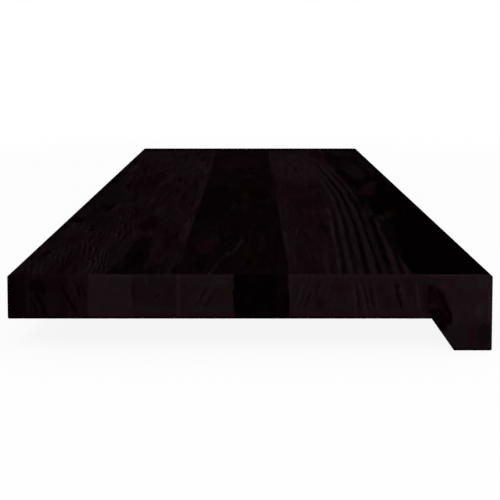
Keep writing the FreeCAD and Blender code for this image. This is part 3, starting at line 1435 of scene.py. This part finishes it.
# Straight-grained stave whose front half is a bundle of growth lines
THIRD_FIGURE = Figure(
    near_tone=16.6, far_tone=20.6, end_tone=21.8, warp=0.9, warp_across=10.0, warp_along=110.0,
    slant=0.12, ragged=0.9, fibre=0.12, streak=0.14, mottle=0.11, ring=0.03, curl=1.0, wine=0.65, seed=23.3,
    marks=several(
        Mark,
        (230, 120, 26, 420, 15.2, DUSTY, 0, 0.3), (198, 315, 18, 170, 17.2, WINE, 0, 0.6),
        (201, 335, 18, 54, 15.2, WINE, 0, 0.7), (203, 435, 13, 42, 17, WINE, 0, 0.9),
        (196, 520, 14, 60, 19.4, EVEN, 0, 0.9), (205, 640, 34, 150, 22.8, EVEN, 0, 0.6),
        (238, 800, 14, 70, 15, WINE), (249, 730, 4.6, 100, 9.5, WINE, 0, 0.9),
        (200, 835, 40, 34, 18.8, GREY, 0, 0.6, 0.9), (180, 240, 8, 260, 18, PLAIN, 0, 0.7),
        (196, 225, 16, 55, 16.6, WINE, 0, 0.8), (213.5, 695, 2.8, 24, 18, GREY),
        (203.5, 610, 2.2, 50, 17.5, GREY, 0.02), (183, 590, 3, 22, 18, GREY), (190, 565, 3, 40, 18, GREY),
        (175.8, 490, 2, 95, 12.5, CLARET, 0, 0.8, 0.8), (213.5, 447, 5, 16, 10.5, WINE),
        (215.5, 383, 1.8, 16, 12, WINE), (200.5, 290, 1.2, 14, 12.5, WINE), (207, 292, 1.2, 10, 12.5, WINE),
        (193, 275, 1.2, 26, 13, WINE), (183, 365, 1.6, 36, 21), (198, 278, 1.2, 10, 21),
        (204.5, 276, 1.2, 15, 21.5), (215.5, 278, 2.4, 24, 20.5, PLAIN, 0.1),
        (208.5, 184, 4.4, 24, 9.6, WINE, 0, 0.7), (206.4, 198, 1.4, 9, 4.5), (184, 75, 3, 40, 14.4, WINE),
        (188, 22, 5.5, 26, 15, WINE, 0, 0.9), (186, 166, 0.9, 9, 24.5, PLAIN, 0, 0.7),
        (187.4, 164, 0.9, 9, 9, PLAIN, 0, 0.7), (194.9, 140, 0.8, 10, 22, PLAIN, 0, 0.7),
        (194, 132, 0.8, 10, 8.5, PLAIN, 0, 0.7), (190.4, 67, 0.8, 7, 23, PLAIN, 0, 0.7),
        (192.2, 66, 0.7, 8, 10, PLAIN, 0, 0.7), (193.4, 67, 0.8, 7, 23, PLAIN, 0, 0.7),
        (180.4, 187, 0.9, 9, 9.5, PLAIN, 0, 0.7), (183.4, 199, 0.8, 8, 10, PLAIN, 0, 0.7),
        (176.2, 125, 1.9, 62, 23, PLAIN, 0, 0.6), (175.6, 25, 1.2, 40, 22.5, PLAIN, 0.03, 0.6),
        (177, 700, 2.6, 150, 21.5), (248.5, 305, 5, 62, 11, WINE, 0.02), (250, 283, 2.6, 58, 14.6, ASH, 0.12),
        (249.4, 560, 1.8, 110, 12, WINE),
    ),
    bundle=LineBundle(
        LINE_PATH,
        several(
            GrowthLine,
            (-25.3, 2, 3.6, 140), (-21.6, 1.1, -2.6, 60), (-17.8, 1.3, 7, 320), (-18, 2.4, 1.8, 420, 60),
            (-14.6, 1.35, -5.2, 300), (-10.6, 2.1, 7, 540), (-7, 1.3, -3.6, 160), (-7.3, 1.4, -7, 350, 110),
            (-7.4, 1.3, -4, 500, 305), (-3.6, 2, 5.2, 580), (0, 1.4, -11, 700), (4.2, 1.9, 5.8, 690),
            (7.4, 1.35, -8.6, 290), (8.4, 1.8, -8.6, 600, 245), (10.4, 1.6, 2.4, 215), (15.2, 2.2, -9.8, 262),
            (12.2, 1.9, 3, 600, 330), (16.6, 1.4, -6.5, 620, 330), (18.8, 1.9, 5.6, 300), (22, 1.1, -10, 105),
            (23.6, 2.6, -12, 300, 75), (25.4, 1.7, 6.8, 105),
        ),
    ),
    end_marks=several(
        Mark,
        (175.3, 4, 1.1, 9, 25.5, PLAIN, 0, 0.9), (177.4, 20, 1, 8, 25, PLAIN, -0.15, 0.9),
        (178, 12, 3, 9, 20, GREY, 0, 0.9), (181.2, 10, 1, 8, 25.5, PLAIN, -0.3, 0.9),
        (185.6, 15, 1.2, 7, 17, WINE, -0.4, 0.9), (188, 18.5, 3, 4, 20, GREY, 0, 0.9),
        (191.5, 7, 1, 6, 17.5, PLAIN, -0.2, 0.9), (193.5, 17, 3.6, 4, 17.5, WINE, 0, 0.9),
        (202, 17, 1.2, 4.5, 24.5, PLAIN, 0, 0.9), (205, 20.4, 9, 2.2, 20.4, GREY, 0, 0.7),
        (206.5, 8, 7, 5, 21, WINE, 0, 0.9), (214.8, 15, 1.1, 13, 27.5, PLAIN, 0.06),
        (217, 15, 1, 13, 15.5, PLAIN, 0.12, 0.9), (219.7, 13.5, 1.1, 14.5, 27.5, PLAIN, 0.25),
        (222, 14, 1, 13, 15.5, PLAIN, 0.25, 0.9), (223.7, 14, 0.8, 13, 24.5, PLAIN, 0.22),
        (225.6, 14, 1, 13, 15.5, PLAIN, 0.2, 0.9), (228.2, 15, 1, 13, 26.5, PLAIN, 0.18),
        (231, 9, 2.4, 6, 19, WINE, 0, 0.9, 0.6), (235, 17, 3, 6, 19, WINE, 0, 0.9, 0.6),
        (242, 13.5, 1.2, 12, 11.5, WINE, 0.28), (241, 6.5, 1.6, 3.2, 12.5, WINE, 0, 0.9),
        (245, 12, 1.1, 12.5, 25.5, PLAIN, 0.32), (249, 9, 3, 5, 18.5, WINE, 0, 0.9, 0.6),
        (247, 3.6, 4, 2.6, 18, GREY, 0, 0.9),
    ),
    end_ripples=several(
        Ripple,
        (186, 9, 11, 15, 3.9, 1.8, -0.38), (203, 9, 9, 14, 4.6, 1.2, -0.3),
    ),
)

# Front stave: smooth black near the camera, with a knot and its loops further off
NOSING_FIGURE = Figure(
    near_tone=2.1, far_tone=9.0, end_tone=24.0, warp=1.8, warp_across=12.0, warp_along=80.0,
    slant=0.3, ragged=1.6, fibre=0.12, streak=0.16, mottle=0.22, ring=0.03, curl=1.2, wine=0.6, seed=37.9,
    foot=47.0, worn=0.0,
    marks=several(
        Mark,
        (282, 160, 40, 400, 2.1, WINE, 0, 0.3), (283, 300, 22, 110, 3, PLAIN, 0, 0.7),
        (274, 822, 19, 46, 12.2, ASH, 0, 0.5), (265, 850, 9, 26, 15, ASH), (270, 712, 12, 46, 10.8, GREY),
        (265, 757, 13.5, 26, 6.2, WINE, 0, 0.6), (252, 770, 5, 40, 9.5, CLARET),
        (256, 672, 5.5, 38, 9.6, CLARET, 0, 0.8, 0.7), (262, 632, 6, 12, 12, GREY),
        (262, 520, 12, 44, 6.2, GREY, 0, 0.7), (254.5, 578, 5.5, 44, 4.2, WINE, 0, 0.6),
        (258.5, 484, 9.5, 28, 3.6, WINE, 0, 0.7), (290, 660, 7, 120, 12.6, ASH, 0, 0.8, 0.8),
        (270, 602, 12, 92, 14.6, GREY, 0.015, 0.5), (267, 632, 2.6, 40, 15.5, WINE, 0.08, 0.9),
        (280.2, 695, 2.4, 64, 5.8, CLARET, -0.067, 0.6, 0.9), (283.4, 606, 2.5, 66, 5.4, CLARET, 0, 0.6, 0.9),
        (281.4, 530, 2.2, 40, 5.8, CLARET, 0.09, 0.6, 0.9), (287.2, 590, 1.8, 62, 15, ASH, 0.03),
        (291, 530, 2.6, 112, 4.6, PLAIN, 0.05, 0.7), (295.5, 490, 3.2, 38, 12.6, ASH),
        (297, 640, 3.2, 60, 8, ASH, 0, 0.9), (288.5, 435, 4.6, 30, 5.8, ASH),
        (262.5, 402, 12.5, 27, 14, WINE, 0, 0.9), (270, 442, 10.4, 66, 16.6, WINE, 0.13, 0.9),
        (277, 480, 5.6, 28, 15, GREY, 0.12), (263, 381, 9.5, 12, 10.5, CLARET), (260, 356, 9, 18, 4.6, ASH),
        (270, 268, 9, 28, 7.2, RUST, 0.08, 0.9, 0.8), (268, 264, 4.6, 24, 12.4, RUST, 0.1, 0.9, 0.6),
        (267, 261, 3.2, 18, 15, ASH, 0.1, 0.9, 0.7), (284, 288, 1.6, 48, 6.2, ASH, 0.11),
        (257, 200, 7.5, 75, 7.4, GREY, 0.03), (255, 316, 3.2, 48, 12, ASH, 0.1),
        (259.5, 242, 5, 20, 14, ASH, 0.05), (264.5, 241, 3, 10, 14, GREY),
        (253.4, 272, 2.4, 26, 13.6, ASH, 0.05), (251.4, 345, 1.6, 16, 17),
        (254.5, 425, 2.2, 40, 13, ASH, 0.03), (253, 110, 3, 60, 7.4, ASH, 0.02),
    ),
    bundle=LineBundle(
        LINE_PATH,
        several(
            GrowthLine,
            (18.9, 1.9, 11, 300, -50, 90), (14.2, 1.4, 5, 460, 330),
        ),
    ),
    knots=several(Knot, (270, 604, 8.5, 70, 1.4, 0.9)),
    end_marks=several(
        Mark,
        (255, 14, 6.6, 60, 20.4, PLAIN, 0, 0.4), (266, 17, 8, 12, 13, WINE, 0.2, 0.7),
        (263, 3.6, 7.6, 3.6, 17.6, ASH, 0, 0.9, 0.8), (254, 13.5, 1.2, 11.5, 26, GREY, 0.16),
        (258, 13, 1.2, 12, 16.5, PLAIN, 0.1, 0.9), (260.6, 15, 1.1, 9, 11.5, WINE, 0.05),
        (261.6, 8.4, 2.6, 3.2, 9.8, CLARET), (263, 19, 3, 2.6, 18.6, GREY, 0, 0.9),
        (266.2, 22.6, 5.6, 2.4, 7.6, CLARET, 0.6), (268.6, 14, 2, 8, 8.6, CLARET, 0.52),
        (272.4, 22, 1.8, 7, 8.4, CLARET, 0.42), (269.4, 27.5, 6, 4.4, 8.8, CLARET, 0.5, 0.7),
        (269.8, 34.5, 4.4, 14.5, 5.6, WINE, 0.68, 0.5), (257, 24.6, 7, 2.4, 22.6, WINE, 0, 0.6),
        (283, 5, 9, 5, 24.6, GREY, 0, 0.9), (286, 40.5, 20, 12, 20.8, GREY, 0, 0.3),
        (282, 36, 3.6, 8, 20.4, GREY, 0, 0.9), (288, 38, 4, 11, 21.2, WINE, 0, 0.9),
        (294.6, 37, 5, 8.6, 15.6, GREY, 0, 0.6), (294, 4, 5, 4, 26.6, ASH, 0, 0.9, 0.7),
        (292, 21.5, 4, 6.5, 27, GREY, 0, 0.9), (298, 17, 1.4, 15, 28.5, GREY),
    ),
)


@dataclass(frozen=True)
class Lamp:
    """A soft square lamp that points at the tread.

    Its azimuth is 0 degrees behind the camera and 90 at the nosing, and its elevation is in
    degrees above the horizon. The power is in watts, the distance and the side in metres.
    """

    name: str
    azimuth: float
    elevation: float
    power: float
    distance: float = 4.0
    side: float = 2.4

    def build(self) -> None:
        """Hang the lamp."""
        data = bpy.data.lights.new(self.name, "AREA")
        data.shape = "SQUARE"
        data.size = self.side
        data.energy = self.power
        lamp = placed(self.name, data)
        turn, lift = math.radians(self.azimuth), math.radians(self.elevation)
        back = Vector((math.sin(turn) * math.cos(lift), -math.cos(turn) * math.cos(lift), math.sin(lift)))
        lamp.location = back * self.distance
        lamp.rotation_euler = (-back).to_track_quat("-Z", "Y").to_euler()


@dataclass
class Studio:
    """Pale floor that runs into a white background, and plain soft light."""

    # How much of the floor's look near the tread is its own lit paint; the rest is plain white
    lit_share: float = 0.1
    # Distances in metres from which, and up to which, that share grows towards the tread
    lit_range: Pair = (1.5, 0.7)
    floor_size: float = 60.0
    # Height of the floor in metres, just under the lowest of the brushed lines
    floor_level: float = -0.00005
    # Brightness of the floor's paint and of the sky's light, as shares of white
    floor_paint: float = 0.86
    sky: float = 0.58
    lamps: tuple[Lamp, ...] = (Lamp("front_lamp", -12.0, 42.0, 78.0), Lamp("side_lamp", 120.0, 50.0, 25.0))

    def _white_ray(self, graph: Graph) -> Expr:
        """Tell the rays that see the background itself from those that carry its light.

        Args:
            graph: maker of the nodes.

        Returns:
            1 for the first kind and 0 for the others.
        """
        path = graph.node("ShaderNodeLightPath").outputs
        kinds = ("Is Camera Ray", "Is Glossy Ray", "Is Transmission Ray")
        camera, glossy, through = (Expr(graph, path[kind]) for kind in kinds)
        return camera.at_least(glossy).at_least(through)

    def _floor(self) -> None:
        """Lay the floor at the level that the tread stands on."""
        half, level = self.floor_size / 2, self.floor_level
        mesh = bpy.data.meshes.new("floor")
        corners = [(x * half, y * half, level) for x, y in ((-1, -1), (1, -1), (1, 1), (-1, 1))]
        mesh.from_pydata(corners, [], [(0, 1, 2, 3)])
        floor = placed("floor", mesh)
        material = bpy.data.materials.new("floor_paper")
        material.use_nodes = True
        graph = Graph(material.node_tree)
        paint = graph.node("ShaderNodeBsdfDiffuse", None, {"Color": (*[self.floor_paint] * 3, 1.0)})
        white = graph.node("ShaderNodeEmission", None, {"Color": WHITE, "Strength": 1.0})
        apart = graph.vector_math("LENGTH", graph.node("ShaderNodeTexCoord").outputs["Object"])
        lit = Expr(graph, apart.outputs["Value"]).rise(*self.lit_range) * self.lit_share
        share = self._white_ray(graph) * (1.0 - lit)
        mixed = graph.node("ShaderNodeMixShader", None, {0: share, 1: paint.outputs[0], 2: white.outputs[0]})
        graph.node("ShaderNodeOutputMaterial", None, {"Surface": mixed.outputs[0]})
        mesh.materials.append(material)

    def _world(self) -> None:
        """Light the scene evenly from a white sky."""
        world = bpy.data.worlds.new("white_sky")
        bpy.context.scene.world = world
        world.use_nodes = True
        graph = Graph(world.node_tree)
        strength = graph.mix(self._white_ray(graph), self.sky, 1.0)
        sky = graph.node("ShaderNodeBackground", None, {"Color": WHITE, "Strength": strength})
        graph.node("ShaderNodeOutputWorld", None, {"Surface": sky.outputs[0]})

    def build(self) -> None:
        """Make the floor, the sky and the lamps."""
        self._floor()
        self._world()
        for lamp in self.lamps:
            lamp.build()


@dataclass(frozen=True)
class PhotoCamera:
    """Camera that stands where the photograph's did."""

    # Side of the photograph and focal length in pixels, and width of the sensor in millimetres
    side: float = 500.0
    focal_length: float = 1117.0
    sensor: float = 36.0
    # Distance before the near end and height over the floor in millimetres, and dip in degrees
    distance: float = 681.3
    height: float = 185.6
    dip: float = 3.81
    # Shift of the view upwards, as a share of its width
    shift: float = -0.25
    # Distances in metres between which it sees
    clip: Pair = (0.05, 100.0)

    def build(self) -> bpy.types.Object:
        """Make the camera and look through it.

        Returns:
            The camera.
        """
        data = bpy.data.cameras.new("photo_camera")
        data.sensor_width = self.sensor
        data.lens = self.focal_length / self.side * self.sensor
        data.shift_y = self.shift
        data.clip_start, data.clip_end = self.clip
        camera = placed("photo_camera", data)
        near = cad_bounds[0][1]
        camera.location = (0.0, near - self.distance * MM, self.height * MM)
        camera.rotation_euler = (math.radians(90.0 - self.dip), 0.0, 0.0)
        bpy.context.scene.camera = camera
        return camera


def main() -> None:
    """Build the camera, the studio and the tread."""
    logging.basicConfig(level=logging.INFO, format="%(name)s: %(message)s")
    bpy.context.scene.view_settings.view_transform = "Standard"
    PhotoCamera().build()
    Studio().build()
    for piece in Tread().build():
        log.info("%s: %d faces", piece.name, len(piece.data.polygons))


if __name__ == "__main__":
    main()
